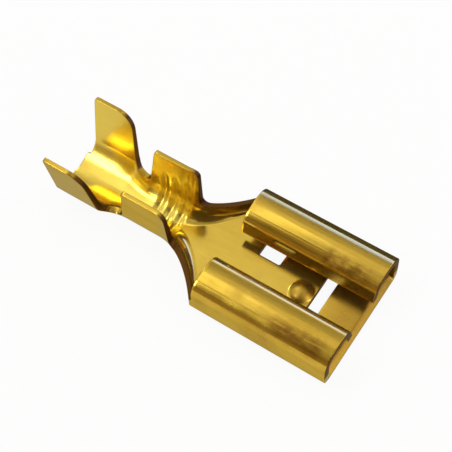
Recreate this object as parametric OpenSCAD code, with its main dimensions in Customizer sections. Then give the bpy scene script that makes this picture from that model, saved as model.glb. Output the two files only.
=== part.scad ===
// Female spade terminal, 6.3 mm tab size, bare brass, for crimping.
// One blank of sheet brass, folded: a flat receptacle whose two sides roll
// over into lips, a waisted neck, an open wire barrel and a taller open
// insulation barrel.
//
// Frame: +X points out of the mouth, where the tab goes in, +Z is up and the
// receptacle floor lies on z = 0. The origin is at the middle of the length
// and of the width. The terminal is the same on both sides of y = 0.
// Lengths are in millimetres, angles in degrees.

/* [Sheet] */
// Thickness of the brass sheet
sheet_t = 0.40; // [0.30:0.01:0.50]
// Thickness at the tips of the wings, where they are coined thinner
tip_t = 0.25; // [0.15:0.01:0.40]

/* [Receptacle] */
// Width outside the side walls
rec_w = 7.5; // [7.0:0.1:8.6]
// Height to the top of the rolls
rec_h = 2.52; // [2.30:0.02:3.00]
// Length of the rolls
rec_len = 8.05; // [7.00:0.05:9.60]
// Outside radius where the floor turns up into a side wall
floor_bend_r = 0.50; // [0.45:0.05:0.70]
// Outside radius where a side wall turns over into its roll
roof_bend_r = 0.92; // [0.72:0.02:1.00]
// Turn of the flatter crown along the top of a roll
crown_turn = 30; // [24:1:36]
// Outside radius where a roll turns down into its lip
lip_bend_r = 0.92; // [0.72:0.02:1.00]
// Turn of the lip below the crown
lip_turn = 60; // [52:1:66]
// Clear width between the two lips
lip_gap = 2.10; // [1.20:0.05:2.80]
// Free height between the floor and a lip, less than the tab it grips
tab_gap = 0.70; // [0.50:0.02:0.80]
// Length of the coined slope that leads the tab in over the floor
lead_in = 0.36; // [0.10:0.02:0.50]
// Depth of that slope at the mouth
lead_depth = 0.17; // [0.04:0.01:0.20]

/* [Locking slot and dimple] */
// Distance from the mouth to the front edge of the slot
slot_x = 2.28; // [1.60:0.02:2.60]
// Size of the slot along the terminal
slot_len = 0.68; // [0.40:0.02:0.80]
// Size of the slot across the floor
slot_w = 3.40; // [2.40:0.10:4.40]
// Distance from the mouth to the centre of the dimple
dimple_x = 3.64; // [3.62:0.02:4.20]
// Width of the dimple on the floor
dimple_d = 1.32; // [0.80:0.02:1.32]
// Height of the dimple above the floor
dimple_h = 0.26; // [0.12:0.02:0.34]

/* [Windows] */
// Distance from the mouth to the front edge of the windows
win_x = 5.45; // [5.00:0.05:5.60]
// Size of a window along the terminal
win_len = 1.35; // [0.80:0.05:1.60]
// Distance from the middle to the inner edge of a window
win_in = 0.76; // [0.50:0.02:1.20]
// Size of a window across the floor
win_w = 1.15; // [0.60:0.05:1.60]
// Radius in the corners of the slot and the windows
win_r = 0.10; // [0.04:0.02:0.16]

/* [Neck] */
// Distance from the rolls to the front edge of the wire wings
neck_len = 2.80; // [2.20:0.05:4.00]
// Height of the upstanding walls of the neck
neck_h = 1.05; // [0.90:0.05:1.50]
// Radius where those walls rise into the ends of the side walls
neck_r = 0.22; // [0.06:0.02:0.30]

/* [Wire barrel] */
// Width inside the wire barrel
wire_d = 2.30; // [1.80:0.05:2.60]
// Height of the wire wings
wire_h = 3.85; // [2.80:0.05:4.40]
// Length of the wire wings
wire_len = 2.85; // [2.40:0.05:3.60]
// Lean of the wire wings out from upright
wire_lean = 3; // [0:1:8]
// Radius on the front corner of a wire wing
wire_corner_r = 0.45; // [0.20:0.05:0.70]

/* [Serrations] */
// Number of grooves across the wire barrel
ser_n = 3; // [1:1:4]
// Distance from one groove to the next
ser_pitch = 0.72; // [0.50:0.02:0.76]
// Width of a groove
ser_w = 0.26; // [0.16:0.02:0.34]
// Depth of a groove
ser_depth = 0.10; // [0.04:0.02:0.14]

/* [Notch between the barrels] */
// Distance between the wire wings and the insulation wings
notch_len = 1.60; // [1.30:0.05:2.20]
// Height of the bottom of the notch
notch_z = 1.05; // [0.80:0.05:1.40]
// Radius in the bottom of the notch
notch_r = 0.50; // [0.30:0.05:0.55]

/* [Insulation barrel] */
// Diameter of the round seat for the insulation
ins_d = 3.60; // [2.80:0.05:3.80]
// Height of the insulation wings
ins_h = 4.55; // [3.60:0.05:5.20]
// Length of the insulation wings
ins_len = 2.80; // [2.20:0.05:3.60]
// Lean of the insulation wings out from upright
ins_lean = 8; // [4:1:16]
// Turn of the round seat on each side of the middle
ins_seat = 62; // [55:1:66]
// Outside radius where the seat turns up into a wing
ins_bend_r = 0.70; // [0.60:0.05:1.20]
// Radius of the sloping front shoulder of a wing
shoulder_r = 1.05; // [0.60:0.05:1.20]
// Length of the stub left where the terminal was cut from its strip
stub_len = 0.25; // [0.10:0.05:0.60]
// Width of that stub
stub_w = 3.00; // [2.00:0.10:3.20]

/* [Hidden] */

t = sheet_t;
eps = 0.01;
// How far the round seat of a barrel is coined into the sheet
seat_cut = 0.03;
// Half of the flat left in the bottom of a barrel before it is coined
barrel_flat = 0.02;
// The side walls run on this far behind the rolls before they turn in
wall_tail = 0.15;
// The neck goes on narrowing this far into the wire barrel
neck_tail = 0.85;
// Small radius on the free corners of the blank
corner_r = 0.15;
// Lean of the two sides of the notch, and of the front of a wing
notch_lean = 0.35;
front_lean = 0.10;
// How far past the outline the wings are drawn before it trims them
spare = 0.6;

// Stations along the terminal, counted back from the mouth at x = 0
x_roll = -rec_len;
x_neck = x_roll - wall_tail;
x_wire = x_roll - neck_len;
x_wire2 = x_wire - wire_len;
x_ins = x_wire2 - notch_len;
x_ins2 = x_ins - ins_len;
x_end = x_ins2 - stub_len;
total_len = -x_end;

// ------------------------------------------------------------ helpers

function mix(a, b, k) = a + (b - a) * k;
function clamp01(k) = max(0, min(1, k));
function unit(v) = v / norm(v);
function dir(a) = [cos(a), sin(a)];

// Round the corner q between p and s to radius r, in n steps. The radius
// is held to what the two sides can carry.
function corner(p, q, s, r, n = 6) =
    let (
        a = unit(p - q),
        b = unit(s - q),
        h = acos(a * b) / 2,
        rr = min(r, 0.49 * tan(h) * min(norm(p - q), norm(s - q))),
        c = q + unit(a + b) * rr / sin(h),
        v0 = q + a * rr / tan(h) - c,
        v1 = q + b * rr / tan(h) - c,
        w = 180 - 2 * h
    )
    [for (i = [0 : n]) c + (sin(w * (1 - i / n)) * v0 + sin(w * i / n) * v1) / sin(w)];

// Outline with rounded corners, from points [x, y, radius]
function rounded(p, n = 6) = [
    for (i = [0 : len(p) - 1])
        let (
            a = p[(i + len(p) - 1) % len(p)],
            q = p[i],
            b = p[(i + 1) % len(p)]
        )
        each q[2] == 0 ? [[q[0], q[1]]]
        : corner([a[0], a[1]], [q[0], q[1]], [b[0], b[1]], q[2], n)
];

// ------------------------------------------------------------ receptacle

// Half of the folded strip across the receptacle, d inside its outside
// face: floor, bend, side wall, bend, crown of the roll, bend, lip.
n_bend = 9;
n_crown = 4;
roof_a = 90 - crown_turn / 2;
crown_a = 90 + crown_turn / 2;
lip_a = crown_a + lip_turn;
// The crown's radius and the lip's run are what brings the roll up to
// rec_h and its lip to the middle gap and the free height: two equations
lip_end = [lip_gap / 2, t + tab_gap + t * sin(lip_a)];
bend_end = [rec_w / 2 - roof_bend_r * (1 - cos(roof_a)), rec_h];
lip_goal = lip_end - bend_end - lip_bend_r * (dir(lip_a) - dir(crown_a));
crown_d = dir(crown_a) - dir(roof_a) - [0, 1 - sin(roof_a)];
lip_d = dir(lip_a + 90);
det = crown_d[0] * lip_d[1] - crown_d[1] * lip_d[0];
crown_r = (lip_goal[0] * lip_d[1] - lip_goal[1] * lip_d[0]) / det;
lip_run = (crown_d[0] * lip_goal[1] - crown_d[1] * lip_goal[0]) / det;
side_c = [
    rec_w / 2 - roof_bend_r,
    rec_h - crown_r * (1 - sin(roof_a)) - roof_bend_r * sin(roof_a)
];
crown_c = side_c + (roof_bend_r - crown_r) * dir(roof_a);
lip_c = crown_c + (crown_r - lip_bend_r) * dir(crown_a);

function rec_face(d) =
    let (floor_c = [rec_w / 2 - floor_bend_r, floor_bend_r])
    concat(
        [for (i = [0 : n_bend]) floor_c + (floor_bend_r - d) * dir(-90 + 90 * i / n_bend)],
        [for (i = [0 : n_bend]) side_c + (roof_bend_r - d) * dir(roof_a * i / n_bend)],
        [for (i = [1 : n_crown]) crown_c + (crown_r - d) * dir(mix(roof_a, crown_a, i / n_crown))],
        [for (i = [1 : n_bend]) lip_c + (lip_bend_r - d) * dir(mix(crown_a, lip_a, i / n_bend))],
        [lip_c + (lip_bend_r - d) * dir(lip_a) + lip_run * lip_d]
    );
function flip(p) = [for (i = [len(p) - 1 : -1 : 0]) [-p[i][0], p[i][1]]];
function back(p) = [for (i = [len(p) - 1 : -1 : 0]) p[i]];
// Closed outline of a folded strip from half of its two faces
function strip(o, i) = concat(flip(o), o, back(i), back(flip(i)));

module receptacle() {
    translate([x_roll, 0, 0])
        rotate([90, 0, 90])
            linear_extrude(height = rec_len)
                polygon(strip(rec_face(0), rec_face(t)));
}

// ------------------------------------------------- neck and two barrels

// A section is [half flat, first radius, first turn, second radius, second
// turn, height, thickness at the tip]: half of the folded strip, from the
// middle of its floor. The radii are those of the outside face.
wire_ro = wire_d / 2 - seat_cut + t;
ins_ro = ins_d / 2 - seat_cut + t;
wire_turn = (90 - wire_lean) / 2;
sec_rec = [rec_w / 2 - floor_bend_r, floor_bend_r, 45, floor_bend_r, 45, neck_h, t];
sec_wire = [barrel_flat, wire_ro, wire_turn, wire_ro, wire_turn, wire_h, tip_t];
sec_ins = [barrel_flat, ins_ro, ins_seat, ins_bend_r, 90 - ins_lean - ins_seat, ins_h, tip_t];

// The neck widens with the square of the distance, and so does the way
// from the wire barrel to the insulation barrel along the notch.
x_narrow = x_wire - neck_tail;
x_blend = [x_wire2, x_ins];
function section(x) =
    x > x_narrow ? mix(sec_wire, sec_rec, pow(clamp01((x - x_narrow) / (x_neck - x_narrow)), 2))
    : mix(sec_wire, sec_ins, pow(clamp01((x_blend[0] - x) / (x_blend[0] - x_blend[1])), 2));

// One face of half a section, d inside the outside face. The inside face
// comes nearer to the outside one towards the tip.
n_a = 7;
n_b = 5;
function barrel_face(s, d) =
    let (
        c1 = [s[0], s[1]],
        a1 = s[2] - 90,
        a2 = a1 + s[4],
        c2 = c1 + (s[1] - s[3]) * dir(a1),
        foot = c2 + (s[3] - d) * dir(a2),
        rise = max(0.3, s[5] - foot[1]),
        thin = d == 0 ? 0 : (d - s[6]) / cos(a2)
    )
    concat(
        [for (i = [0 : n_a]) c1 + (s[1] - d) * dir(mix(-90, a1, i / n_a))],
        [for (i = [1 : n_b]) c2 + (s[3] - d) * dir(mix(a1, a2, i / n_b))],
        [foot + [thin - rise * tan(a2), rise] * (1 + spare / rise)]
    );

// Solid through the sections at the stations xs. Each ring runs along the
// outside face and back along the inside one, so an end is a row of quads.
module loft(xs) {
    rings = [for (x = xs) strip(barrel_face(section(x), 0), barrel_face(section(x), t))];
    n = len(rings[0]);
    last = (len(xs) - 1) * n;
    polyhedron(
        points = [for (k = [0 : len(xs) - 1]) for (p = rings[k]) [xs[k], p[0], p[1]]],
        faces = concat(
            [for (i = [0 : n / 2 - 2]) [n - 1 - i, n - 2 - i, i + 1, i]],
            [for (i = [0 : n / 2 - 2]) last * [1, 1, 1, 1] + [i, i + 1, n - 2 - i, n - 1 - i]],
            [for (k = [0 : len(xs) - 2]) for (i = [0 : n - 1])
                let (a = k * n + i, b = k * n + (i + 1) % n)
                each [[a, b, b + n], [a, b + n, a + n]]]
        )
    );
}

n_neck = 14;
n_blend = 9;
stations = concat(
    [x_roll],
    [for (i = [0 : n_neck]) mix(x_neck, x_narrow, i / n_neck)],
    [for (i = [0 : n_blend]) mix(x_blend[0], x_blend[1], i / n_blend)],
    [x_end]
);

// Side view of the neck and the wings, which trims the folded strip
module side_outline() {
    rotate([90, 0, 0])
        linear_extrude(height = 2 * rec_w, center = true)
            polygon(rounded([
                [x_roll + 1, -1, 0],
                [x_roll + 1, neck_h + 3 * neck_r, 0],
                [x_roll + eps, neck_h + 3 * neck_r, 0],
                [x_roll + eps, neck_h, neck_r],
                [x_wire, neck_h, wire_corner_r],
                [x_wire - front_lean, wire_h, wire_corner_r],
                [x_wire2, wire_h, corner_r],
                [x_wire2 - notch_lean, notch_z, notch_r],
                [x_ins, notch_z, notch_r],
                [x_ins - notch_lean, ins_h, shoulder_r],
                [x_ins2, ins_h, corner_r],
                [x_ins2, -1, 0]
            ]));
}

module stub_outline() {
    translate([x_end - 1, -stub_w / 2, -1])
        cube([stub_len + 1 + eps, stub_w, 3]);
}

// Round seats coined into the two barrels
module seat(d, x0, x1, reach) {
    intersection() {
        translate([x0, 0, t - seat_cut + d / 2])
            rotate([0, 90, 0])
                cylinder(h = x1 - x0, d = d, $fn = 96);
        translate([x0 - 1, -d, -1])
            cube([x1 - x0 + 2, 2 * d, 1 + t - seat_cut + d / 2 - reach]);
    }
}

// One V groove round the inside of the wire barrel and up both wings. It is
// cut from a little inside the seat, so that its edges are clean.
wire_z = t - seat_cut + wire_d / 2;
wire_foot = [barrel_flat, wire_ro] + (wire_ro - t) * dir(-wire_lean);
wing_slope = tan(wire_lean) + (t - tip_t) / cos(wire_lean) / (wire_h - wire_foot[1]);
module groove() {
    lead = 0.2;
    half = ser_w / 2 * (1 + lead);
    for (s = [0, 1])
        mirror([s, 0, 0])
            translate([0, 0, wire_z])
                rotate([0, 90, 0])
                    cylinder(
                        h = half,
                        r1 = wire_d / 2 + ser_depth,
                        r2 = wire_d / 2 - lead * ser_depth,
                        $fn = 96
                    );
    for (s = [0, 1])
        mirror([0, s, 0])
            translate([0, wire_foot[0], wire_foot[1]])
                rotate([-atan(wing_slope), 0, 0])
                    linear_extrude(height = wire_h)
                        polygon([
                            [-half, -ser_depth * 3],
                            [-half, -lead * ser_depth],
                            [0, ser_depth],
                            [half, -lead * ser_depth],
                            [half, -ser_depth * 3]
                        ]);
}

module serrations() {
    for (i = [0 : ser_n - 1])
        translate([(x_wire + x_wire2) / 2 + (i - (ser_n - 1) / 2) * ser_pitch, 0, 0])
            groove();
}

module barrels() {
    difference() {
        intersection() {
            loft(stations);
            union() {
                side_outline();
                stub_outline();
            }
        }
        seat(wire_d, x_wire2, x_narrow, 0);
        seat(ins_d, x_end - 1, x_ins, ins_d / 2 * cos(ins_seat));
        serrations();
    }
}

// ------------------------------------------------------- floor of the receptacle

module floor_cut(x0, x1, y0, y1) {
    translate([0, 0, -1])
        linear_extrude(height = 1 + t + 0.3)
            polygon(rounded([
                [x0, y0, win_r],
                [x1, y0, win_r],
                [x1, y1, win_r],
                [x0, y1, win_r]
            ], 4));
}

module floor_holes() {
    floor_cut(-slot_x - slot_len, -slot_x, -slot_w / 2, slot_w / 2);
    for (s = [-1, 1])
        floor_cut(-win_x - win_len, -win_x, s * win_in, s * (win_in + win_w));
}

// Coined slope across the floor of the mouth
module lead_slope() {
    rotate([90, 0, 0])
        linear_extrude(height = rec_w - 2 * floor_bend_r, center = true)
            polygon([
                [-lead_in, t],
                [lead_in, t - 2 * lead_depth],
                [lead_in, t + 0.3],
                [-lead_in, t + 0.3]
            ]);
}

// The dimple is pressed up from below: a cap of the sheet's thickness
dimple_r = (pow(dimple_d / 2, 2) + pow(dimple_h, 2)) / (2 * dimple_h);
module dimple_ball(r) {
    translate([-dimple_x, 0, t + dimple_h - dimple_r])
        sphere(r = r, $fn = 64);
}
module dimple_cap() {
    intersection() {
        dimple_ball(dimple_r);
        translate([-dimple_x - dimple_d, -dimple_d, t / 2])
            cube([2 * dimple_d, 2 * dimple_d, t + dimple_h]);
    }
}

// ------------------------------------------------------------ terminal

module terminal() {
    color([0.80, 0.64, 0.22])
        translate([total_len / 2, 0, 0])
            difference() {
                union() {
                    receptacle();
                    barrels();
                    dimple_cap();
                }
                floor_holes();
                lead_slope();
                dimple_ball(dimple_r - t);
            }
}

terminal();
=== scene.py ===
"""Female spade terminal of bare brass, folded from one stamped sheet.

The strip is worked out as a surface of two parameters, the distance along the
terminal and the distance across the flat blank, and is then folded, pierced,
pressed and given its thickness and its sheared edges.
"""

import math
from types import SimpleNamespace

import bpy
import numpy as np
from bpy.props import (
    FloatProperty,
    FloatVectorProperty,
    IntProperty,
    PointerProperty,
    StringProperty,
)
from mathutils import Matrix, Vector


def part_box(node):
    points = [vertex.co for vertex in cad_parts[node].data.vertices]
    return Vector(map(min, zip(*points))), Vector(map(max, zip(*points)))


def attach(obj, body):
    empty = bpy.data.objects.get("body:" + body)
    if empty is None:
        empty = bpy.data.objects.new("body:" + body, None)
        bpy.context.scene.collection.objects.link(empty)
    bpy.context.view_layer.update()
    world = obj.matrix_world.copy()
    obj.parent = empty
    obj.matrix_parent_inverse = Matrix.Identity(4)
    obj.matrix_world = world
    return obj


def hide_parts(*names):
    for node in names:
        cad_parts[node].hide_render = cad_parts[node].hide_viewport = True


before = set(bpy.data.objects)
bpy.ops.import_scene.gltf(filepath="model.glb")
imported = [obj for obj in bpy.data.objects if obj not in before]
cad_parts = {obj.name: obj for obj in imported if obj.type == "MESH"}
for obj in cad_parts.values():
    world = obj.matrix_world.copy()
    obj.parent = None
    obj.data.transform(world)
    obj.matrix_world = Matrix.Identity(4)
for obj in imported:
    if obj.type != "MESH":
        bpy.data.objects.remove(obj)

bl_info = {
    "name": "Spade terminal",
    "version": (1, 0, 0),
    "blender": (4, 5, 0),
    "location": "3D View > Sidebar > Terminal",
    "description": "A brass crimp terminal folded from one sheet, on a pale table",
    "category": "Add Mesh",
}

NODE = "terminal"
MM = 0.001
LOW, HIGH = (np.array(corner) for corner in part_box(NODE))
FAR = 1.0  # longer than any run of the strip, in metres
TINY = 1e-7
COINED = 0.03 * MM  # how much thinner the seats of the two barrels are struck
HALF_FLAT = 0.02 * MM  # half of what stays flat in the middle of a barrel
LAMP_DOME = 0.35  # from the terminal to the soft boxes, in metres
CARD_DOME = 0.40  # from the terminal to the cards, in metres
TABLE_REACH = 0.60  # half of the table, in metres
TABLE_GAP = 0.02 * MM  # between the table and the terminal


# ------------------------------------------------------------------ settings


def size(name, text, mm, low=0.0, high=30.0):
    """A length, given here in millimetres and kept in metres."""
    return FloatProperty(
        name=name,
        description=text,
        default=mm * MM,
        min=low * MM,
        max=high * MM,
        precision=5,
        unit="LENGTH",
    )


def angle(name, text, degrees):
    """An angle, given here in degrees and kept in radians."""
    return FloatProperty(name=name, description=text, default=math.radians(degrees), unit="ROTATION")


def share(name, text, value, high=1.0):
    """A plain number from 0 to high."""
    return FloatProperty(name=name, description=text, default=value, min=0.0, max=high)


def tint(name, text, colour):
    """A colour as an sRGB hex value."""
    return StringProperty(name=name, description=text, default=colour)


class SheetSettings(bpy.types.PropertyGroup):
    thickness: size("Thickness", "Thickness of the brass sheet", 0.40)
    tip: size("Tip thickness", "Thickness of the sheet at the tips of the wings", 0.25)
    roll_over: size("Roll-over", "Radius that the punch leaves on the outer side of a cut edge", 0.035)
    burr_side: size("Burr side", "Radius on the inner side of a cut edge", 0.015)


class SocketSettings(bpy.types.PropertyGroup):
    width: size("Width", "Width outside the side walls", 7.5)
    height: size("Height", "Height to the top of the rolls", 2.52)
    length: size("Length", "Length of the rolls", 8.05)
    floor_bend: size("Floor bend", "Outside radius between the floor and a side wall", 0.50)
    roof_bend: size("Roof bend", "Outside radius where a side wall turns into its roll", 0.92)
    crown_turn: angle("Crown", "Turn of the wide crown on top of a roll", 30)
    lip_bend: size("Lip bend", "Outside radius where a roll turns down into its lip", 0.92)
    lip_turn: angle("Lip turn", "Turn of a roll down into its lip", 60)
    lip_gap: size("Lip gap", "Clear width between the two lips", 2.10)
    tab_gap: size("Tab gap", "Free height between the floor and a lip", 0.70)
    lead_in: size("Lead-in", "Length of the coined slope inside the mouth", 0.36)
    lead_depth: size("Lead-in depth", "How thin the coined slope leaves the front edge", 0.17)


class PiercingSettings(bpy.types.PropertyGroup):
    slot_x: size("Slot", "Distance from the mouth to the locking slot", 2.28)
    slot_length: size("Slot length", "Size of the locking slot along the terminal", 0.68)
    slot_width: size("Slot width", "Size of the locking slot across the floor", 3.40)
    dimple_x: size("Dimple", "Distance from the mouth to the middle of the dimple", 3.64)
    dimple_width: size("Dimple width", "Width of the pressed dimple", 1.32)
    dimple_height: size("Dimple height", "Height of the pressed dimple", 0.26)
    window_x: size("Windows", "Distance from the mouth to the two windows", 5.45)
    window_length: size("Window length", "Size of a window along the terminal", 1.35)
    window_inner: size("Window inner edge", "Distance from the middle to a window", 0.76)
    window_width: size("Window width", "Size of a window across the floor", 1.15)
    corner: size("Hole corners", "Radius in the corners of the slot and the windows", 0.10)


class BarrelSettings(bpy.types.PropertyGroup):
    wall_tail: size("Wall tail", "How far the side walls run on behind the rolls", 0.15)
    neck_length: size("Neck", "Distance from the rolls to the wire wings", 2.80)
    neck_height: size("Neck height", "Height of the upstanding walls of the neck", 1.05)
    neck_tail: size("Neck tail", "How far the neck goes on narrowing into the barrel", 0.85)
    neck_fillet: size("Neck fillet", "Radius between the neck wall and the end of a roll", 0.22)
    wire_width: size("Wire width", "Width inside the wire barrel", 2.30)
    wire_height: size("Wire height", "Height of the wire wings", 3.85)
    wire_length: size("Wire length", "Length of the wire wings", 2.85)
    wire_lean: angle("Wire lean", "Lean of the wire wings out from upright", 3)
    wire_corner: size("Wire corner", "Radius on the front corner of a wire wing", 0.45)
    groove_count: IntProperty(
        name="Grooves", description="Number of grooves across the wire barrel", default=3, min=1
    )
    groove_pitch: size("Groove pitch", "Distance from one groove to the next", 0.72)
    groove_width: size("Groove width", "Width of a groove", 0.26)
    groove_depth: size("Groove depth", "Depth of a groove", 0.10)
    notch_length: size("Notch", "Distance between the wire wings and the insulation wings", 1.60)
    notch_height: size("Notch height", "Height of the bottom of the notch", 1.05)
    notch_corner: size("Notch corner", "Radius in the bottom of the notch", 0.50)
    seat_width: size("Seat", "Diameter of the round seat for the insulation", 3.60)
    seat_turn: angle("Seat turn", "Turn of the round seat on each side of the middle", 62)
    wing_length: size("Wing length", "Length of the insulation wings", 2.80)
    wing_lean: angle("Wing lean", "Lean of the insulation wings out from upright", 8)
    wing_bend: size("Wing bend", "Outside radius where the seat turns up into a wing", 0.70)
    shoulder: size("Shoulder", "Radius of the sloping front shoulder of a wing", 1.05)
    stub_length: size("Stub", "Length of the stub left where the strip was cut", 0.25)
    stub_width: size("Stub width", "Width of the stub left where the strip was cut", 3.00)


class BrassSettings(bpy.types.PropertyGroup):
    colour: tint("Brass", "Bright rolled brass", "#D5B044")
    deep: tint("Deep brass", "Brass where the rolling is coarser", "#C8A135")
    # A paler colour painted on the inner faces as painted bounce light.
    struck: tint("Struck brass", "Paler satin brass where the punches struck the barrel", "#E8CC5C")
    # The brown film colour, also used for the painted shade on the dimple and along the rolls.
    tarnish_and_painted_shade: tint("Tarnish", "Brown film on the handled and pressed places", "#8A5A1E")
    # Sheared edges: duller metal darkened further with painted shade.
    cut: tint("Cut edge", "Duller metal on the sheared edges", "#5E3C12")
    roughness: share("Roughness", "Roughness of the rolled surface", 0.13)
    edge_tint: tint("Grazing tint", "Colour of the reflection at a grazing angle", "#BDBEAF")


class StudioSettings(bpy.types.PropertyGroup):
    floor: tint("Floor", "Pale table under the terminal", "#F4F4F2")
    floor_glow: share("Floor glow", "Share of its own light in how the table looks", 0.93)
    camera_place: FloatVectorProperty(
        name="Camera",
        description="Place of the camera",
        default=(0.01951846, -0.0249555, 0.05591926),
        subtype="XYZ",
    )
    camera_turn: FloatVectorProperty(
        name="Camera turn",
        description="Turn of the camera",
        default=tuple(math.radians(a) for a in (30.44786, 2.02021, 33.24272)),
        subtype="EULER",
    )
    lens: FloatProperty(name="Lens", description="Focal length in millimetres", default=94.678)


class TerminalSettings(bpy.types.PropertyGroup):
    sheet: PointerProperty(type=SheetSettings)
    socket: PointerProperty(type=SocketSettings)
    piercing: PointerProperty(type=PiercingSettings)
    barrel: PointerProperty(type=BarrelSettings)
    brass: PointerProperty(type=BrassSettings)
    studio: PointerProperty(type=StudioSettings)


# ------------------------------------------------------------ the folded strip


def smooth(k):
    """Runs from 0 to 1 as k does, level at both ends."""
    k = np.clip(k, 0, 1)
    return k * k * (3 - 2 * k)


def bump(k):
    """1 where k is 0, falling to 0 on both sides as a bell curve."""
    return np.exp(-k * k)


def layout(settings):
    """All lengths and stations of the terminal.

    Stations are x, 0 at the mouth and negative behind it. The gap between the
    lips and their height over the floor give two sums, solved for the radius
    of the crown and the length of the lip.
    """
    names = {}
    for part in ("sheet", "socket", "piercing", "barrel"):
        group = getattr(settings, part)
        names[part] = SimpleNamespace(**{k: getattr(group, k) for k in group.__annotations__})
    sh, so, ba = names["sheet"], names["socket"], names["barrel"]
    at = SimpleNamespace(sheet=sh, socket=so, piercing=names["piercing"], barrel=ba)
    at.roll = -so.length
    at.neck = at.roll - ba.wall_tail
    at.wire = at.roll - ba.neck_length
    at.narrow = at.wire - ba.neck_tail
    at.wire2 = at.wire - ba.wire_length
    at.ins = at.wire2 - ba.notch_length
    at.ins2 = at.ins - ba.wing_length
    at.end = at.ins2 - ba.stub_length
    t = sh.thickness
    rim = lambda a: np.array([math.cos(a), math.sin(a)])
    first, over = (math.pi - so.crown_turn) / 2, (math.pi + so.crown_turn) / 2
    last = over + so.lip_turn
    fixed = np.array([so.width / 2 - so.roof_bend * (1 - math.cos(first)), so.height])
    fixed += so.lip_bend * (rim(last) - rim(over))
    end = np.array([so.lip_gap / 2, t + so.tab_gap + t * math.sin(last)])
    crown_way = rim(over) - rim(first) - np.array([0, 1 - math.sin(first)])
    ways = np.array([crown_way, rim(last + math.pi / 2)]).T
    at.crown, at.lip_run = (float(run) for run in np.linalg.solve(ways, end - fixed))
    at.crown_start = first
    at.side_run = so.height - at.crown * (1 - math.sin(first))
    at.side_run = at.side_run - so.roof_bend * math.sin(first) - so.floor_bend
    # Sections: half flat, first radius and turn, second radius and turn, height, tip thickness.
    outside = ba.wire_width / 2 - COINED + t
    seat = ba.seat_width / 2 - COINED + t
    half = (math.pi / 2 - ba.wire_lean) / 2
    bend, turn = so.floor_bend, math.pi / 4
    rest = math.pi / 2 - ba.wing_lean - ba.seat_turn
    at.wide = np.array([so.width / 2 - bend, bend, turn, bend, turn, ba.neck_height, t])
    at.narrowest = np.array([HALF_FLAT, outside, half, outside, half, ba.wire_height, sh.tip])
    at.round = np.array([HALF_FLAT, seat, ba.seat_turn, ba.wing_bend, rest, HIGH[2], sh.tip])
    return at


def sections(at, x):
    """The section at x, between those of the neck, the wire barrel and the seat.

    From the wire barrel it widens with the square of the distance, both
    forward along the neck and back along the notch.
    """
    widen = np.clip((x - at.narrow) / (at.neck - at.narrow), 0, 1)[..., None] ** 2
    blend = np.clip((at.wire2 - x) / (at.wire2 - at.ins), 0, 1)[..., None] ** 2
    return at.narrowest + (at.wide - at.narrowest) * widen + (at.round - at.narrowest) * blend


def fold(at, x, s):
    """Where the outside face lies at station x, s from the middle of the blank: y, z and heading.

    The strip is a chain of straight runs and round bends. Along a bend of
    length l that turns by a, the point moves by l sin(a/2)/(a/2) in the
    direction half way through the turn, and a straight run is a bend of 0.
    """
    so = at.socket
    flat, r1, a1, r2, a2 = np.moveaxis(sections(at, x), -1, 0)[:5]
    side = np.where(x > at.roll - TINY, at.side_run, FAR)
    chain = (
        (flat, 0.0),
        (r1 * a1, 1 / r1),
        (r2 * a2, 1 / r2),
        (side, 0.0),
        (so.roof_bend * at.crown_start, 1 / so.roof_bend),
        (at.crown * so.crown_turn, 1 / at.crown),
        (so.lip_bend * so.lip_turn, 1 / so.lip_bend),
        (FAR, 0.0),
    )
    y, z, heading, left = np.zeros_like(s), np.zeros_like(s), np.zeros_like(s), s
    for length, curve in chain:
        step = np.clip(left, 0, length)
        turn = curve * step
        chord = step * np.sinc(turn / 2 / np.pi)
        y = y + chord * np.cos(heading + turn / 2)
        z = z + chord * np.sin(heading + turn / 2)
        heading = heading + turn
        left = left - length
    return y, z, heading


def foot(at, x):
    """Where a side wall or wing starts: s, its height z and its heading."""
    flat, r1, a1, r2, a2 = np.moveaxis(sections(at, x), -1, 0)[:5]
    z = r1 * (1 - np.cos(a1)) + r2 * (np.cos(a1) - np.cos(a1 + a2))
    return flat + r1 * a1 + r2 * a2, z, a1 + a2


def up_to(at, x, z):
    """The distance s across the blank at which the outside face reaches the height z.

    On a bend it is the radius times the angle whose cosine leaves that
    height, and on the straight wall the height over the sine of the heading.
    """
    flat, r1, a1, r2 = np.moveaxis(sections(at, x), -1, 0)[:4]
    s, low, heading = foot(at, x)
    first = r1 * np.arccos(np.clip(1 - z / r1, -1, 1))
    over = np.cos(a1) - (z - r1 * (1 - np.cos(a1))) / r2
    second = r1 * a1 + r2 * (np.arccos(np.clip(over, -1, 1)) - a1)
    on_bend = flat + np.where(z < r1 * (1 - np.cos(a1)), first, second)
    return np.where(z < low, on_bend, s + (z - low) / np.sin(heading))


# ------------------------------------------------------- lines of the blank


def graded(*marks):
    """Rising values from marks (value, cells to the next one)."""
    parts = [np.linspace(a, b, n, endpoint=False) for (a, n), (b, _) in zip(marks, marks[1:])]
    return np.concatenate(parts + [[marks[-1][0]]])


def rounded(corner, before, after, radius, steps=8):
    """Arc of that radius in a corner, as an odd row of points, the middle one on the arc's middle.

    Each point is the centre plus the first and the last radius, weighted by
    the sines of the turns left and done over the sine of the whole turn.
    """
    a, b = (before - corner), (after - corner)
    a, b = a / np.linalg.norm(a), b / np.linalg.norm(b)
    half = math.acos(float(a @ b)) / 2
    centre = corner + (a + b) / np.linalg.norm(a + b) * radius / math.sin(half)
    v0, v1 = (corner + e * radius / math.tan(half) - centre for e in (a, b))
    w = math.pi - 2 * half
    k = np.linspace(0, 1, 2 * steps + 1)[:, None]
    return centre + (np.sin(w * (1 - k)) * v0 + np.sin(w * k) * v1) / math.sin(w)


def resample(line, k):
    """Points at the shares k of the length of a line."""
    run = np.concatenate([[0], np.cumsum(np.linalg.norm(np.diff(line, axis=0), axis=1))])
    return np.stack([np.interp(k * run[-1], run, line[:, i]) for i in (0, 1)], axis=-1)


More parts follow.
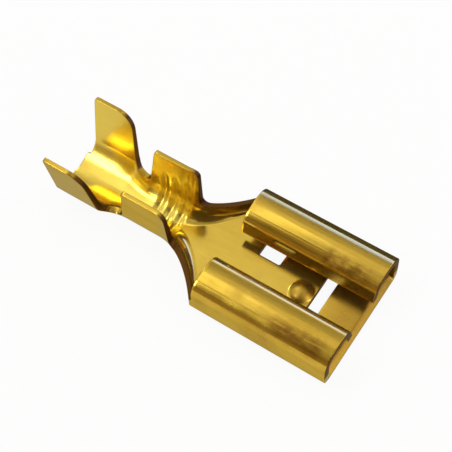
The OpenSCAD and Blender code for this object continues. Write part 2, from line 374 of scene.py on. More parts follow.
def outline(at):
    """Side view of the neck, the notch and the wings, as lines of points (x, z).

    Each line runs from one corner's middle to the next one's, and a corner is
    an arc between two straight runs.
    """
    ba = at.barrel
    slope, front_slope = 0.35 * MM, 0.10 * MM  # how far the ends of the wings lean back from upright
    rear_corner = 0.15 * MM
    lift = lambda lean: at.sheet.tip * math.sin(lean)
    top, peak = ba.wire_height - lift(ba.wire_lean), HIGH[2] - lift(ba.wing_lean)
    corners = [
        ((at.roll, ba.neck_height), ba.neck_fillet),
        ((at.wire, ba.neck_height), ba.wire_corner),
        ((at.wire - front_slope, top), ba.wire_corner),
        ((at.wire2, top), rear_corner),
        ((at.wire2 - slope, ba.notch_height), ba.notch_corner),
        ((at.ins, ba.notch_height), ba.notch_corner),
        ((at.ins - slope, peak), ba.shoulder),
        ((at.ins2, peak), rear_corner),
    ]
    points = [np.array([at.roll, ba.neck_height + MM])] + [np.array(c) for c, _ in corners]
    points += [np.array([at.ins2, ba.notch_height])]
    arcs = [rounded(q, p, n, r) for p, q, n, (_, r) in zip(points, points[1:], points[2:], corners)]
    mid = len(arcs[0]) // 2
    join = lambda a, b: np.concatenate([arcs[a][mid:], arcs[b][: mid + 1]])
    lines = SimpleNamespace()
    lines.neck = np.concatenate([arcs[0], arcs[1][: mid + 1]])
    lines.wire = [join(1, 2), join(2, 3), join(3, 4)[::-1]]
    lines.notch = join(4, 5)
    base = np.array([at.ins2, lines.notch[-1][1]])
    lines.ins = [join(5, 6), join(6, 7), np.concatenate([arcs[7][mid:], [base]])[::-1]]
    return lines


def patch(bottom, top, left, right, share):
    """Surface between four lines that share their corners, at rows spaced as share.

    It is the ruling between two of the lines plus the ruling between the
    other two, less the bilinear surface of the four corners.
    """
    p = share[:, None, None]
    q = np.linspace(0, 1, len(left))[None, :, None]
    b, t, le, r = bottom[:, None], top[:, None], left[None], right[None]
    ruled = (1 - q) * b + q * t + (1 - p) * le + p * r
    corners = (1 - p) * ((1 - q) * b[:1] + q * t[:1]) + p * ((1 - q) * b[-1:] + q * t[-1:])
    return ruled - corners


def soften_hole(x, s, box, radius, reach):
    """Moves the grid round a hole so that its corners become arcs.

    Squares about an arc's centre turn into circles, less and less so over
    the reach beyond the arc.
    """
    x0, x1, s0, s1 = box
    for cx, dx in ((x0 + radius, -1), (x1 - radius, 1)):
        for cs, ds in ((s0 + radius, -1), (s1 - radius, 1)):
            p, q = (x - cx) * dx, (s - cs) * ds
            square, circle = np.maximum(p, q), np.hypot(p, q)
            fade = 1 - smooth((square - radius) / reach)
            k = np.where((p > 0) & (q > 0), 1 + (square / np.maximum(circle, TINY) - 1) * fade, 1.0)
            x, s = cx + dx * p * k, cs + ds * q * k
    return x, s


def blank(at):
    """The flat blank as a grid: x and s of every node of one half, and which cells are metal.

    Rows are stations, closer together beside holes and at the ends of the
    wings. The first columns are shares of a band from the middle of the
    strip to its free edge, and the ones beyond it make the rolls and wings.
    """
    so, pi, ba = at.socket, at.piercing, at.barrel
    lines = outline(at)
    near = pi.corner / 2
    slot0, slot1 = pi.slot_x, pi.slot_x + pi.slot_length
    win0, win1 = pi.window_x, pi.window_x + pi.window_length
    dim1 = pi.dimple_x + 0.70 * MM  # just past the dimple
    fine = 0.30 * MM  # finer rows at the two ends of a wing
    wire0, wire1 = -lines.wire[0][0][0], -lines.wire[2][0][0]
    ins0, ins1 = -lines.ins[0][0][0], -at.ins2
    rows = -graded(
        (0.0, 5),
        (0.40 * MM, 11),
        (slot0, 1),
        (slot0 + near, 1),
        (slot0 + 2 * near, 5),
        (slot1 - 2 * near, 1),
        (slot1 - near, 1),
        (slot1, 27),
        (dim1, 7),
        (win0, 1),
        (win0 + near, 1),
        (win0 + 2 * near, 8),
        (win1 - 2 * near, 1),
        (win1 - near, 1),
        (win1, 9),
        (-at.roll, 6),
        (-at.roll + ba.neck_fillet, 26),
        (-at.wire - ba.wire_corner, 8),
        (wire0, 3),
        (wire0 + fine, 50),
        (wire1 - fine, 3),
        (wire1, 20),
        (ins0, 3),
        (ins0 + fine, 24),
        (ins1 - fine, 3),
        (ins1, 3),
        (-at.end, 0),
    )
    row = lambda u: int(np.argmin(np.abs(rows + u)))

    s_wide, s_round = (float(foot(at, np.array(v))[0]) for v in (at.neck, at.ins2))
    seat = at.round[1]
    s_stub = (at.round[0] + seat * math.asin((ba.stub_width / 2 - at.round[0]) / seat)) * s_wide / s_round
    flat = at.wide[0]
    w0, w1 = pi.window_inner, pi.window_inner + pi.window_width
    across = graded(
        (0.0, 13),
        (0.70 * MM, 1),
        (w0, 1),
        (w0 + near, 1),
        (w0 + 2 * near, 6),
        (pi.slot_width / 2 - 2 * near, 1),
        (pi.slot_width / 2 - near, 1),
        (pi.slot_width / 2, 2),
        (w1 - near, 1),
        (w1, 5),
        (s_stub, 3),
        (flat, 10),
        (s_wide, 0),
    )
    column = lambda v: int(np.argmin(np.abs(across - v)))
    wall_share = np.linspace(0, 1, 8)[1:]
    band = len(across) + len(wall_share) - 1

    # The top of the band is the free edge, or where a wing or roll goes on.
    crest = np.concatenate([lines.neck, lines.notch, [[at.ins2, lines.notch[-1][1]]]])
    top = np.interp(-rows, -crest[:, 0], crest[:, 1])
    top[: row(-at.roll) + 1] = lines.neck[0][1]
    x = np.repeat(rows[:, None], band + 1, axis=1)
    s_top = up_to(at, rows, top)
    s_foot = np.minimum(foot(at, rows)[0], 0.88 * s_top)  # leaves the wall's cells some room everywhere
    s = np.concatenate(
        [s_foot[:, None] * across / s_wide, s_foot[:, None] + (s_top - s_foot)[:, None] * wall_share], axis=1
    )
    in_socket = slice(0, row(-at.roll) + 1)
    for box in (
        (-slot1, -slot0, -pi.slot_width / 2, pi.slot_width / 2),
        (-win1, -win0, w0, w1),
    ):
        x[in_socket], s[in_socket] = soften_hole(x[in_socket], s[in_socket], box, pi.corner, 0.12 * MM)

    # Beyond the band: the rest of the side wall, the roll and the lip in front, the wings behind.
    s_side = at.side_run + s_wide
    s_roof = s_side + so.roof_bend * at.crown_start
    s_crown = s_roof + at.crown * so.crown_turn
    s_lip = s_crown + so.lip_bend * so.lip_turn
    s_end, s_start = s_lip + at.lip_run, float(s_top[0])
    roll = graded((s_start, 2), (s_side, 13), (s_roof, 10), (s_crown, 13), (s_lip, 4), (s_end, 0))[1:]
    wing_cells = 22
    extra = max(len(roll), wing_cells)
    grow = lambda a: np.concatenate([a, np.zeros((len(rows), extra))], axis=1)
    x, s = grow(x), grow(s)
    x[in_socket, band + 1 : band + 1 + len(roll)] = rows[in_socket, None]
    s[in_socket, band + 1 : band + 1 + len(roll)] = roll
    metal = np.zeros((len(rows) - 1, band + extra), bool)
    metal[:, :band] = True
    metal[: row(-at.roll), band : band + len(roll)] = True
    for (left, upper, right), u0, u1 in ((lines.wire, wire0, wire1), (lines.ins, ins0, ins1)):
        i0, i1 = row(u0), row(u1)
        base = np.stack([rows[i0 : i1 + 1], top[i0 : i1 + 1]], axis=1)
        share_x = (base[:, 0] - base[0, 0]) / (base[-1, 0] - base[0, 0])
        share_z = np.linspace(0, 1, wing_cells + 1)
        sides = [resample(line, share_z) for line in (left, right)]
        for side, end in zip(sides, (0, -1)):
            side[0] = base[end]
        grid = patch(base, resample(upper, share_x), *sides, share_x)
        x[i0 : i1 + 1, band + 1 : band + 1 + wing_cells] = grid[:, 1:, 0]
        s[i0 : i1 + 1, band + 1 : band + 1 + wing_cells] = up_to(at, grid[:, 1:, 0], grid[:, 1:, 1])
        metal[i0:i1, band : band + wing_cells] = True
    metal[row(slot0) : row(slot1), : column(pi.slot_width / 2)] = False
    metal[row(win0) : row(win1), column(w0) : column(w1)] = False
    metal[row(-at.ins2) :, column(s_stub) :] = False
    return x, s, metal


def dome(at, x, s, radius, lift):
    """How far the dimple lifts a flat face.

    A ball of that radius stands out by lift. Its height c above the face is
    eased into it, as half of c plus the root of c squared and e squared.
    """
    pi = at.piercing
    ease, reach = 0.030 * MM, 0.75 * MM
    away = np.hypot(x + pi.dimple_x, s)
    ball = np.sqrt(np.maximum(radius**2 - away**2, 0)) - radius + lift
    near = (away < 0.95 * radius) & (away < reach)
    return np.where(near, (ball + np.sqrt(ball**2 + ease**2)) / 2, 0.0)


def press(at, x, s, y, z, heading):
    """The outer and inner face of the sheet as points (x, y, z).

    The outer face is the folded strip, and the inner one lies square to it,
    as far off as the sheet is thick there. Wings thin out towards their tips.
    """
    sh, so, ba, pi = at.sheet, at.socket, at.barrel, at.piercing
    t = sh.thickness
    section = sections(at, x)
    low = foot(at, x)[1]
    rise = np.clip((z - low) / np.maximum(section[..., 5] - low, 0.3 * MM), 0, 1)
    thick = t - (t - section[..., 6]) * rise * (x < at.roll)
    # Coined seats, the slope inside the mouth and the grooves are all pressed into the inner face.
    thick = thick - COINED * smooth((at.narrow + 0.3 * MM - x) / (0.6 * MM)) * (1 - rise)
    in_floor = 1 - smooth((heading - 0.2) / 0.9)
    thick = thick - so.lead_depth * np.clip(1 + x / so.lead_in, 0, 1) ** 1.2 * in_floor
    # Each groove is a bell curve across x with a low burr on both sides, and fades out up the walls.
    middle = (at.wire + at.wire2) / 2
    struck = (x < at.wire + MM) * (x > at.wire2 - MM) * (1 - smooth((rise - 0.2) / 0.4))
    for i in range(ba.groove_count):
        off = x - middle - (i - (ba.groove_count - 1) / 2) * ba.groove_pitch
        groove = bump(off / (0.65 * ba.groove_width)) * 0.65 * ba.groove_depth
        burr = bump((np.abs(off) - 1.35 * ba.groove_width) / (0.5 * ba.groove_width))
        thick = thick - (groove - burr * 0.05 * ba.groove_depth) * struck
    outer = np.stack([x, y, z], axis=-1)
    inner = np.stack([x, y - thick * np.sin(heading), z + thick * np.cos(heading)], axis=-1)
    cap = (pi.dimple_width**2 / 4 + pi.dimple_height**2) / (2 * pi.dimple_height)
    outer[..., 2] += dome(at, x, s, cap - t, pi.dimple_height)
    inner[..., 2] += dome(at, x, s, cap, pi.dimple_height)
    return outer, inner


def unit(v):
    """Vectors made one long."""
    return v / np.maximum(np.linalg.norm(v, axis=-1, keepdims=True), 1e-12)


def thicken(outer, inner, metal, roll_over, burr_side, dull_and_shade):
    """Closed sheet between two faces on one grid, with a sheared edge round every border.

    From a border node the edge follows a quarter circle off the outer face,
    a straight cut, and a smaller quarter circle onto the inner face. Its
    inward direction is square to the border and to the sheet. How dark the
    cut is painted, as duller metal and painted shade, comes from a given
    function of the border's points and of the way that the cut faces. Every
    point's layer is 0 on the outer face, then rises by 1 per ring of the
    edge to the inner face.
    """
    ni, nj = metal.shape[0] + 1, metal.shape[1] + 1
    number = np.arange(ni * nj).reshape(ni, nj)
    a, b, c, d = number[:-1, :-1], number[1:, :-1], number[1:, 1:], number[:-1, 1:]
    quads = np.stack([a, b, c, d], axis=-1)[metal]
    padded = np.pad(metal, 1)
    starts, ends = [], []
    for (p, q), open_side in (
        ((a, b), ~padded[1:-1, :-2]),
        ((b, c), ~padded[2:, 1:-1]),
        ((c, d), ~padded[1:-1, 2:]),
        ((d, a), ~padded[:-2, 1:-1]),
    ):
        side = metal & open_side
        starts.append(p[side])
        ends.append(q[side])
    start, end = np.concatenate(starts), np.concatenate(ends)
    order = np.argsort(start)
    start, end = start[order], end[order]
    after = np.searchsorted(start, end)  # place of each border node's follower
    before = np.empty_like(after)
    before[after] = np.arange(len(after))

    faces = [outer.reshape(-1, 3).copy(), inner.reshape(-1, 3).copy()]
    rim_out, rim_in = faces[0][start], faces[1][start]
    through = rim_in - rim_out
    thick = np.linalg.norm(through, axis=1, keepdims=True)
    through = through / thick
    middle = (rim_out + rim_in) / 2
    ahead = unit(np.cross(middle[after] - middle, through))
    behind = unit(np.cross(middle - middle[before], through))
    inward = (ahead + behind) / np.maximum(1 + (ahead * behind).sum(1, keepdims=True), 0.6)
    faces[0][start] += inward * roll_over
    faces[1][start] += inward * burr_side

    # Each ring lies so far inward from the border, so far down, and so much of the thickness further.
    quarter = np.radians([30, 60, 90])
    rings = [(roll_over * (1 - math.sin(w)), roll_over * (1 - math.cos(w)), 0.0) for w in quarter]
    rings += [(0.0, 0.0, 0.35), (0.0, 0.0, 0.70)]
    rings += [
        (burr_side * (1 - math.cos(w)), burr_side * (math.sin(w) - 1), 1.0)
        for w in (0.0, quarter[0], quarter[1])
    ]
    walls = [rim_out + inward * back + through * (down + part * thick) for back, down, part in rings]
    verts = np.concatenate(faces + walls)
    base, n = ni * nj, len(start)
    levels = [start] + [2 * base + k * n + np.arange(n) for k in range(len(rings))] + [base + start]
    strips = [np.stack([u[after], u, v, v[after]], axis=-1) for u, v in zip(levels, levels[1:])]
    all_quads = np.concatenate([quads, base + quads[:, ::-1]] + strips)
    cut = np.zeros(len(verts))
    # How dark each cut is painted: duller metal and painted shade.
    cut[2 * base :] = np.tile(dull_and_shade(middle, -inward), len(rings))
    inner_layer = len(rings) + 1
    layer = np.repeat([0, inner_layer, *range(1, inner_layer)], [base, base] + [n] * len(rings))
    source = np.concatenate([np.arange(base), np.arange(base)] + [start] * len(rings))
    used, packed = np.unique(all_quads, return_inverse=True)
    return verts[used], packed.reshape(-1, 4), cut[used], layer[used], source[used]


def cut_duller_and_shaded(at, points, facing):
    """How dark a cut is painted, as duller metal and painted shade: 1, less on two places.

    They are the tips of the wings, which face up and are left paler as a painted highlight, and the coined
    front edge of the floor.
    """
    x, z = points[:, 0], points[:, 2]
    # Upward tips stay paler: a painted highlight.
    tips = smooth((facing[:, 2] - 0.80) / 0.15) * smooth((at.wire - 0.2 * MM - x) / (0.3 * MM))
    front = (x > -0.05 * MM) * smooth((at.socket.floor_bend + at.sheet.thickness - z) / (0.2 * MM))
    return 1 - 0.8 * np.maximum(tips, front)


def painted_dark_bands(x, y, z):
    """How dark the rolls are painted: 1 along a band of painted shade on the front half of each, a painted
    dark reflection.

    The band is a bell curve across y, on the outer shoulder of the right roll
    and on the inner shoulder of the left one. It fades in from behind, out
    before the mouth, and out down the walls.
    """
    # Painted shade standing in for the dark reflection along each roll.
    right = bump((y + 3.10 * MM) / (0.50 * MM)) * smooth((x + 4.6 * MM) / (1.6 * MM))
    left = bump((y - 1.60 * MM) / (0.50 * MM)) * smooth((x + 3.5 * MM) / (0.5 * MM))
    mouth = smooth((-0.35 * MM - x) / (0.5 * MM))
    top = smooth((z - 1.7 * MM) / (0.3 * MM))
    return np.maximum(right, left) * mouth * top


def painted_light_on_inner_faces(at, x, z):
    """How much paler colour, painted bounce light, and rougher finish an inner face has.

    It is most in the wire barrel, less on the insulation wings, where it grows with height, and little on
    the floor, and fades out towards the mouth.
    """
    # Paler colour of painted bounce light, growing up the wings, with a rougher finish.
    barrel = 0.85 * smooth((x - at.wire2 + 0.5 * MM) / (0.6 * MM))
    wings = 0.40 + 0.35 * smooth((z - 0.9 * MM) / (0.8 * MM))
    floor = 0.25 * (1 - smooth((x + 5.5 * MM) / (3 * MM)))
    behind = smooth((at.wire - 0.1 * MM - x) / (0.6 * MM))
    return np.maximum(np.maximum(barrel, wings) * behind, floor)


def dimple_shade_and_mouth_brown(at, x, s, inside):
    """How dark the pressed places are painted: 1 on the dimple as painted shade, less on the inner faces
    towards the mouth.
    """
    away = np.hypot(x + at.piercing.dimple_x, s)
    # Painted shade on the dimple, in place of its dark reflection.
    dimple = 1 - smooth((away / at.piercing.dimple_width - 0.40) / 0.12)
    slid = 0.8 * smooth((x + 2.8 * MM) / (2 * MM)) * inside
    return np.maximum(dimple, slid)


def terminal_surface(at):
    """The whole terminal: half of the blank is folded and pressed, and set beside its mirror image.

    Gives the points, the cells, the marks on each point that the metal's
    looks depend on, and each point's place on the blank.
    """
    sh = at.sheet
    x, s, metal = blank(at)
    y, z, heading = fold(at, x, s)
    outer, inner = press(at, x, s, y, z, heading)
    flip = np.array([1.0, -1.0, 1.0])
    whole = lambda a, b: np.concatenate([b[:, :0:-1], a], axis=1)
    outer, inner = whole(outer, outer * flip), whole(inner, inner * flip)
    metal = np.concatenate([metal[:, ::-1], metal], axis=1)
    dull_and_shade = lambda points, facing: cut_duller_and_shaded(at, points, facing)
    verts, quads, cut, layer, source = thicken(outer, inner, metal, sh.roll_over, sh.burr_side, dull_and_shade)
    sheet_x, sheet_s = whole(x, x).ravel()[source], whole(s, -s).ravel()[source]
    inside, outside = layer >= layer.max() - 1, layer == 0
    marks = {
        # duller metal and painted shade on the cut edges
        "cut": cut,
        # painted bounce light as a paler colour, and a rougher finish, on the inner faces
        "satin_and_painted_light": painted_light_on_inner_faces(at, sheet_x, verts[:, 2]) * inside,
        # painted shade on the dimple, browner inner faces towards the mouth
        "pressed": dimple_shade_and_mouth_brown(at, sheet_x, sheet_s, inside),
        # painted shade: dark reflection bands along the rolls
        "dark_band_shade": painted_dark_bands(sheet_x, verts[:, 1], verts[:, 2]) * outside,
    }
    verts[:, 0] += HIGH[0]
    return verts, quads, marks, sheet_x, sheet_s


# ------------------------------------------------------------------ materials


def linear(colour):
    """An sRGB hex value as linear RGBA."""
    values = [int(colour[i : i + 2], 16) / 255 for i in (1, 3, 5)]
    return [v / 12.92 if v <= 0.04045 else ((v + 0.055) / 1.055) ** 2.4 for v in values] + [1.0]


def add(tree, kind, links=None, **values):
    """A node of that kind, with its settings and links.

    A value goes to the node's own property of that name or, where it has
    none, to its input. Links go to inputs by name or number.
    """
    node = tree.nodes.new(kind)
    for key, value in values.items():
        if key in node.bl_rna.properties:
            setattr(node, key, value)
        else:
            node.inputs[key.replace("_", " ")].default_value = value
    for key, socket in (links or {}).items():
        tree.links.new(socket, node.inputs[key])
    return node


def new_material(name):
    """An empty node material and its tree."""
    material = bpy.data.materials.new(name)
    material.use_nodes = True
    material.node_tree.nodes.clear()
    return material, material.node_tree


def rolled_brass(brass):
    """Rolled sheet brass, stamped and folded.

    To the eye it is a bright yellow metal with fine rolling lines along the
    strip. It has a thin brown film where it was handled and short scuffs
    within that, and is browner on the inner faces towards the mouth. Painted
    shade browns the dimple and lays a dark band along each roll, and the
    inner faces get a rougher finish and a paler colour of painted bounce
    light. The sheared edges are coarser, duller metal, darkened further
    with painted shade, and their tips that face up are left paler as a
    painted highlight.
    """
    material, tree = new_material("rolled_brass")
    where = add(tree, "ShaderNodeTexCoord")
    # On the blank, per millimetre along and across it, with a start, the detail and its roughness.
    noises = []
    for per_mm, start, detail, uneven in (
        ((0.6, 9.0, 1.0), (0.0, 0.0, 0.0), 5.0, 0.6),  # rolling lines, 0.1 mm apart
        ((0.25, 1.6, 1.0), (0.0, 0.0, 0.0), 4.0, 0.65),  # bands of them, 0.6 mm apart
        ((1.3, 6.5, 1.0), (3.1, 0.7, 0.0), 3.0, 0.7),  # scuffs, 0.15 mm wide and 0.8 mm long
    ):
        spot = add(tree, "ShaderNodeMapping", {"Vector": where.outputs["UV"]}, Scale=per_mm, Location=start)
        links = {"Vector": spot.outputs[0]}
        noises.append(add(tree, "ShaderNodeTexNoise", links, Scale=1.0, Detail=detail, Roughness=uneven))
    # In the terminal's own space, per metre.
    for per_metre, detail, uneven in (
        (260.0, 4.0, 0.55),  # clouds, 3.8 mm wide
        (1900.0, 2.0, 0.6),  # grain, 0.5 mm wide
    ):
        links = {"Vector": where.outputs["Object"]}
        noises.append(
            add(tree, "ShaderNodeTexNoise", links, Scale=per_metre, Detail=detail, Roughness=uneven)
        )
    lines, bands, scuffs, cloud, grain = (noise.outputs[0] for noise in noises)
    cut, pressed, satin_and_painted_light, dark_band_shade = (
        add(tree, "ShaderNodeAttribute", attribute_name=name).outputs["Fac"]
        for name in ("cut", "pressed", "satin_and_painted_light", "dark_band_shade")
    )

    mixed = add(tree, "ShaderNodeMath", {0: lines, 1: bands}, operation="ADD")
    spread = add(tree, "ShaderNodeMapRange", {"Value": mixed.outputs[0]}, From_Min=0.70, From_Max=1.30)
    tone = add(tree, "ShaderNodeMix", {0: spread.outputs[0]}, data_type="RGBA")
    tone.inputs[6].default_value = linear(brass.colour)
    tone.inputs[7].default_value = linear(brass.deep)

    # The brown film is the strongest of the handled clouds, the pressed places, painted shade on the dimple,
    # and the scuffs in the clouds.
    patches = add(tree, "ShaderNodeMapRange", {"Value": cloud}, From_Min=0.50, From_Max=0.64)
    marks = add(tree, "ShaderNodeMapRange", {"Value": scuffs}, From_Min=0.60, From_Max=0.72, To_Max=0.75)
    scuffed = add(tree, "ShaderNodeMath", {0: patches.outputs[0], 1: marks.outputs[0]}, operation="MULTIPLY")
    handled = add(tree, "ShaderNodeMapRange", {"Value": cloud}, From_Min=0.56, From_Max=0.78, To_Max=0.45)
    dimple_and_mouth_darkening = add(tree, "ShaderNodeMath", {0: pressed}, operation="MULTIPLY")
    dimple_and_mouth_darkening.inputs[1].default_value = 0.55
    film = add(tree, "ShaderNodeMath", {0: handled.outputs[0], 1: dimple_and_mouth_darkening.outputs[0]}, operation="MAXIMUM")
    film = add(tree, "ShaderNodeMath", {0: film.outputs[0], 1: scuffed.outputs[0]}, operation="MAXIMUM")
    # The dark bands on the rolls are painted shade, mottled in grains and along the scuffs; they only brown
    # the metal and leave it as smooth as it was.
    grains = add(tree, "ShaderNodeMath", {0: grain, 1: scuffs}, operation="ADD")
    mottled_band_shade = add(
        tree,
        "ShaderNodeMapRange",
        {"Value": grains.outputs[0]},
        From_Min=0.80,
        From_Max=1.15,
        To_Min=0.20,
        To_Max=0.85,
    )
    mottled_band_shade = add(tree, "ShaderNodeMath", {0: mottled_band_shade.outputs[0], 1: dark_band_shade}, operation="MULTIPLY")
    brown = add(tree, "ShaderNodeMath", {0: film.outputs[0], 1: mottled_band_shade.outputs[0]}, operation="MAXIMUM")
    colour = tone.outputs[2]
    # Laid on in turn: the brown film with its painted shade, the paler colour of painted bounce light on the
    # inner faces, and the cut edges' duller metal and painted shade.
    for part, top in ((brown.outputs[0], brass.tarnish_and_painted_shade), (satin_and_painted_light, brass.struck), (cut, brass.cut)):
        coat = add(tree, "ShaderNodeMix", {0: part, 6: colour}, data_type="RGBA")
        coat.inputs[7].default_value = linear(top)
        colour = coat.outputs[2]

    # The clouds vary the roughness, and cuts, the brown film, painted shade on the dimple included, and the
    # rougher finish of the inner faces add to it.
    rough = add(
        tree,
        "ShaderNodeMapRange",
        {"Value": cloud},
        From_Min=0.3,
        From_Max=0.7,
        To_Min=brass.roughness - 0.05,
        To_Max=brass.roughness + 0.07,
    )
    worn = add(tree, "ShaderNodeMath", {0: cut, 1: film.outputs[0]}, operation="MAXIMUM")
    skin = add(tree, "ShaderNodeMath", {0: satin_and_painted_light}, operation="MULTIPLY")
    skin.inputs[1].default_value = 0.35
    worn = add(tree, "ShaderNodeMath", {0: worn.outputs[0], 1: skin.outputs[0]}, operation="MAXIMUM")
    coarse = add(tree, "ShaderNodeMath", {0: worn.outputs[0], 2: rough.outputs[0]}, operation="MULTIPLY_ADD")
    coarse.inputs[1].default_value = 0.32
    relief = add(tree, "ShaderNodeBump", {"Height": lines}, Strength=0.08, Distance=0.02 * MM)
    shader = add(
        tree,
        "ShaderNodeBsdfPrincipled",
        {"Base Color": colour, "Roughness": coarse.outputs[0], "Normal": relief.outputs[0]},
        Metallic=0.9,
        Specular_Tint=linear(brass.edge_tint),
    )
    add(tree, "ShaderNodeOutputMaterial", {"Surface": shader.outputs[0]})
    return material


def matt_table(colour, glow_share):
    """Smooth white paper sheet: matt and evenly pale.

    To the eye and in reflections it is a mix of lit paper and of white light
    of its own. What it lights sees the lit paper alone.
    """
    material, tree = new_material("white_paper")
    path = add(tree, "ShaderNodeLightPath")
    seen = path.outputs["Is Camera Ray"]
    for ray in ("Is Glossy Ray", "Is Transmission Ray"):
        seen = add(tree, "ShaderNodeMath", {0: seen, 1: path.outputs[ray]}, operation="MAXIMUM").outputs[0]
    part = add(tree, "ShaderNodeMath", {0: seen}, operation="MULTIPLY")
    part.inputs[1].default_value = glow_share
    paper = add(tree, "ShaderNodeBsdfDiffuse", Color=linear(colour))
    glow = add(tree, "ShaderNodeEmission", Color=(1, 1, 1, 1), Strength=1.0)
    mixed = add(tree, "ShaderNodeMixShader", {0: part.outputs[0], 1: paper.outputs[0], 2: glow.outputs[0]})
    add(tree, "ShaderNodeOutputMaterial", {"Surface": mixed.outputs[0]})
    return material


def plain_card(name, colour):
    """Matt card, which gives the brass an even tone to mirror and keeps light off it."""
    material, tree = new_material(name)
    card = add(tree, "ShaderNodeBsdfDiffuse", Color=linear(colour))
    add(tree, "ShaderNodeOutputMaterial", {"Surface": card.outputs[0]})
    return material


# ------------------------------------------------------------------ operators


def new_object(name, mesh):
    """An object at the origin, in the scene."""
    piece = bpy.data.objects.new(name, mesh)
    bpy.context.scene.collection.objects.link(piece)
    return piece


class TERMINAL_OT_sheet(bpy.types.Operator):
    """Folds the brass terminal from its blank"""

    bl_idname = "terminal.fold_sheet"
    bl_label = "Fold the brass sheet"

    def execute(self, context):
        settings = context.scene.terminal
        verts, quads, marks, sheet_x, sheet_s = terminal_surface(layout(settings))
        mesh = bpy.data.meshes.new("terminal_sheet")
        mesh.from_pydata(verts, [], quads)
        mesh.polygons.foreach_set("use_smooth", np.ones(len(quads), bool))
        for name, values in marks.items():
            mesh.attributes.new(name, "FLOAT", "POINT").data.foreach_set("value", values.astype(np.float32))
        # The blank's own coordinates, in millimetres.
        corners = np.stack([sheet_x, sheet_s], axis=-1)[quads.ravel()] / MM
        mesh.uv_layers.new(name="blank").uv.foreach_set("vector", corners.astype(np.float32).ravel())
        mesh.validate()
        piece = new_object("terminal_sheet", mesh)
        mesh.materials.append(rolled_brass(settings.brass))
        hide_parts(NODE)
        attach(piece, "root")
        return {"FINISHED"}


# ------------------------------------------------------------------ the stage


# Matt cards round the terminal, which its faces mirror: name, colour, azimuths and elevations.
CARDS = (
    ("low_card", "#B89E72", (-118, -89, 1, 24)),
    ("brown_card", "#907B59", (-118, -89, 24, 45)),
    ("tan_card", "#AD9986", (-119, -89, 45, 66)),
    ("high_card", "#A3998E", (-142, -108, 65, 75)),
    ("camera_shade", "#4E3A23", (-89, -30, 4, 77)),
    ("right_card", "#9F816C", (40, 64, 16, 60)),
    ("rear_card", "#C6C8D1", (96, 122, 30, 47)),
    ("rear_step", "#E4E4E6", (96, 122, 47, 57)),
    ("ceiling_card", "#C6C6C4", (-180, 180, 77, 90)),
)
# Soft boxes: name, colour, brightness where the world's white is 1, azimuth and elevation, width,
# height, tilt in degrees, and whether only mirroring faces see it.
LAMPS = (
    ("key_box", (0.9, 1.0, 0.94), 2.0, (-130, 45), 0.065, 0.200, 27, False),
    ("key_glint", (0.85, 1.0, 1.0), 9.5, (-129, 44), 0.048, 0.180, 27, True),
    ("left_box", (0.92, 1.0, 1.1), 1.1, (176, 69.5), 0.210, 0.080, 0, False),
    ("back_box", (0.75, 1.0, 1.0), 6.0, (150, 45), 0.070, 0.070, 0, True),
    ("side_box", (1.0, 0.98, 0.94), 3.0, (8, 44), 0.110, 0.100, 0, False),
)
# Two long strips close behind the rolls, which only mirroring faces see: the x of their ends, then
# the y, the lowest z and the highest z of each, with z above the terminal's lowest point.
STRIP_ENDS = (-2.6 * MM, 16 * MM)
DARK_STRIP = (5.8 * MM, 0.0, 3.50 * MM)
COOL_STRIP = (9.2 * MM, 3.4 * MM, 7.3 * MM)
SLATE = "#475589"
COOL_COLOUR, COOL_BRIGHTNESS = (0.032, 0.092, 1.0), 10.0


def on_dome(azimuth, elevation, radius):
    """A point round the terminal: azimuth from +X towards +Y, elevation above the table, in degrees."""
    a, e = math.radians(azimuth), math.radians(elevation)
    return radius * math.cos(e) * math.cos(a), radius * math.cos(e) * math.sin(a), radius * math.sin(e)


def dome_card(name, az0, az1, el0, el1):
    """A curved card on a sphere about the terminal: a grid over azimuth and elevation, in degrees."""
    across, up = 25, 9
    a, e = np.radians(np.linspace(az0, az1, across)), np.radians(np.linspace(el0, el1, up))
    a, e = np.meshgrid(a, e, indexing="ij")
    points = CARD_DOME * np.stack([np.cos(e) * np.cos(a), np.cos(e) * np.sin(a), np.sin(e)], axis=-1)
    n = np.arange(across * up).reshape(across, up)
    quads = np.stack([n[:-1, :-1], n[:-1, 1:], n[1:, 1:], n[1:, :-1]], axis=-1).reshape(-1, 4)
    mesh = bpy.data.meshes.new(name)
    mesh.from_pydata(points.reshape(-1, 3), [], quads)
    return mesh


def area_lamp(name, colour, bright, width, height):
    """A flat lamp, kept out of the camera's sight. Its power is its brightness times pi times its area."""
    lamp = bpy.data.lights.new(name, "AREA")
    lamp.shape, lamp.size, lamp.size_y = "RECTANGLE", width, height
    lamp.energy, lamp.color = bright * math.pi * width * height, colour
    piece = new_object(name, lamp)
    piece.visible_camera = False
    return piece


def lay_table(studio):
    """The pale square that the terminal lies on."""
    square = ((-1, -1), (1, -1), (1, 1), (-1, 1))
    points = [(x * TABLE_REACH, y * TABLE_REACH, LOW[2] - TABLE_GAP) for x, y in square]
    mesh = bpy.data.meshes.new("table_floor")
    mesh.from_pydata(points, [], [(0, 1, 2, 3)])
    mesh.materials.append(matt_table(studio.floor, studio.floor_glow))
    table = new_object("table_floor", mesh)


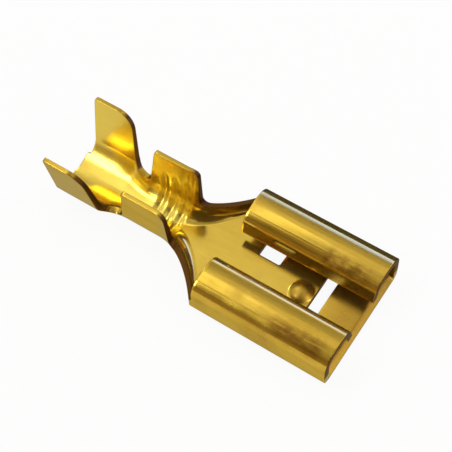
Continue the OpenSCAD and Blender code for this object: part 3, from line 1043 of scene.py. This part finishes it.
def stand_strips():
    """The dark strip and the cool one above and behind it, both upright and facing the terminal."""
    y, low, high = DARK_STRIP
    corners = [(x, y, LOW[2] + z) for z in (low, high) for x in STRIP_ENDS]
    mesh = bpy.data.meshes.new("dark_strip")
    mesh.from_pydata(corners, [], [(0, 1, 3, 2)])
    mesh.materials.append(plain_card("slate_card", SLATE))
    strip = new_object("dark_strip", mesh)
    strip.visible_camera = strip.visible_diffuse = strip.visible_shadow = False
    y, low, high = COOL_STRIP
    lamp = area_lamp("cool_strip", COOL_COLOUR, COOL_BRIGHTNESS, STRIP_ENDS[1] - STRIP_ENDS[0], high - low)
    lamp.location = (sum(STRIP_ENDS) / 2, y, LOW[2] + (low + high) / 2)
    lamp.rotation_euler = Vector((0, -1, 0)).to_track_quat("-Z", "Y").to_euler()
    lamp.visible_diffuse = False


def hang_cards():
    """The cards, which the camera looks through."""
    for name, colour, box in CARDS:
        card = new_object(name, dome_card(name, *box))
        card.data.materials.append(plain_card(name, colour))
        card.visible_camera = False


def hang_lamps():
    """The soft boxes, each aimed at the terminal and tilted about its own axis."""
    for name, colour, bright, where, width, height, tilt, glint in LAMPS:
        lamp = area_lamp(name, colour, bright, width, height)
        lamp.location = on_dome(*where, LAMP_DOME)
        aim = (-Vector(lamp.location)).to_track_quat("-Z", "Y").to_matrix()
        lamp.rotation_euler = (aim @ Matrix.Rotation(math.radians(tilt), 3, "Z")).to_euler()
        lamp.visible_diffuse = not glint


def white_world(scene):
    """An even white world round everything."""
    world = bpy.data.worlds.new("studio")
    scene.world = world
    world.use_nodes = True
    tree = world.node_tree
    tree.nodes.clear()
    back = add(tree, "ShaderNodeBackground", Color=(1, 1, 1, 1), Strength=1.0)
    add(tree, "ShaderNodeOutputWorld", {"Surface": back.outputs[0]})


def set_camera(scene, studio):
    """The scene's camera, with the colours shown as they are."""
    camera = bpy.data.cameras.new("camera")
    camera.lens = studio.lens
    camera.clip_start, camera.clip_end = 0.001, 10
    view = new_object("camera", camera)
    view.location = studio.camera_place
    view.rotation_euler = studio.camera_turn
    scene.camera = view
    scene.view_settings.view_transform = "Standard"


class TERMINAL_OT_stage(bpy.types.Operator):
    """Sets the pale table, the strips, the cards, the lamps and the camera"""

    bl_idname = "terminal.set_stage"
    bl_label = "Set the stage"

    def execute(self, context):
        scene = context.scene
        studio = scene.terminal.studio
        lay_table(studio)
        stand_strips()
        hang_cards()
        hang_lamps()
        white_world(scene)
        set_camera(scene, studio)
        return {"FINISHED"}


class TERMINAL_PT_panel(bpy.types.Panel):
    """Lists the terminal's steps and sizes"""

    bl_idname = "TERMINAL_PT_panel"
    bl_label = "Spade terminal"
    bl_space_type = "VIEW_3D"
    bl_region_type = "UI"
    bl_category = "Terminal"

    def draw(self, context):
        layout_box = self.layout
        for operator in OPERATORS:
            layout_box.operator(operator.bl_idname)
        settings = context.scene.terminal
        for part in ("sheet", "socket", "piercing", "barrel", "brass", "studio"):
            box = layout_box.box()
            group = getattr(settings, part)
            for key in group.__annotations__:
                box.prop(group, key)


OPERATORS = (TERMINAL_OT_sheet, TERMINAL_OT_stage)
CLASSES = (
    SheetSettings,
    SocketSettings,
    PiercingSettings,
    BarrelSettings,
    BrassSettings,
    StudioSettings,
    TerminalSettings,
    *OPERATORS,
    TERMINAL_PT_panel,
)


def register():
    for cls in CLASSES:
        bpy.utils.register_class(cls)
    bpy.types.Scene.terminal = PointerProperty(type=TerminalSettings)


def unregister():
    del bpy.types.Scene.terminal
    for cls in reversed(CLASSES):
        bpy.utils.unregister_class(cls)


def main():
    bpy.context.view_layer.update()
    register()
    bpy.ops.terminal.fold_sheet()
    bpy.ops.terminal.set_stage()


if __name__ == "__main__":
    main()
